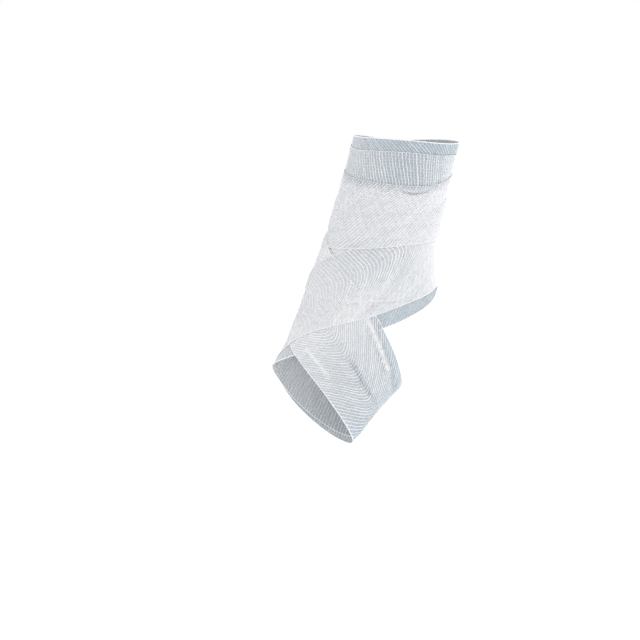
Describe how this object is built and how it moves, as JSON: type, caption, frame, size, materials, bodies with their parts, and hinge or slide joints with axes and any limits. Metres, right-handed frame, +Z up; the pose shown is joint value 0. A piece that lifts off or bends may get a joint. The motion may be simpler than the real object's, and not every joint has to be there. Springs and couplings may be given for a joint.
{
  "type": "wound gauze ankle bandage",
  "caption": "White open-weave gauze bandage wound in a figure of eight round an ankle, hollow where the foot and lower leg go, and open at the heel and toes.",
  "frame": {"origin": "middle of the ankle joint that the bandage is wound round, inside the hollow", "axes": "+Z up the lower leg, -Y toward the toes, +X toward the outer side of a left ankle"},
  "size_m": [0.0846, 0.1189, 0.262],
  "materials": {
    "gauze": "matte open weave"
  },
  "bodies": {
    "root": {"gauze_bandage": "gauze"}
  },
  "joints": []
}
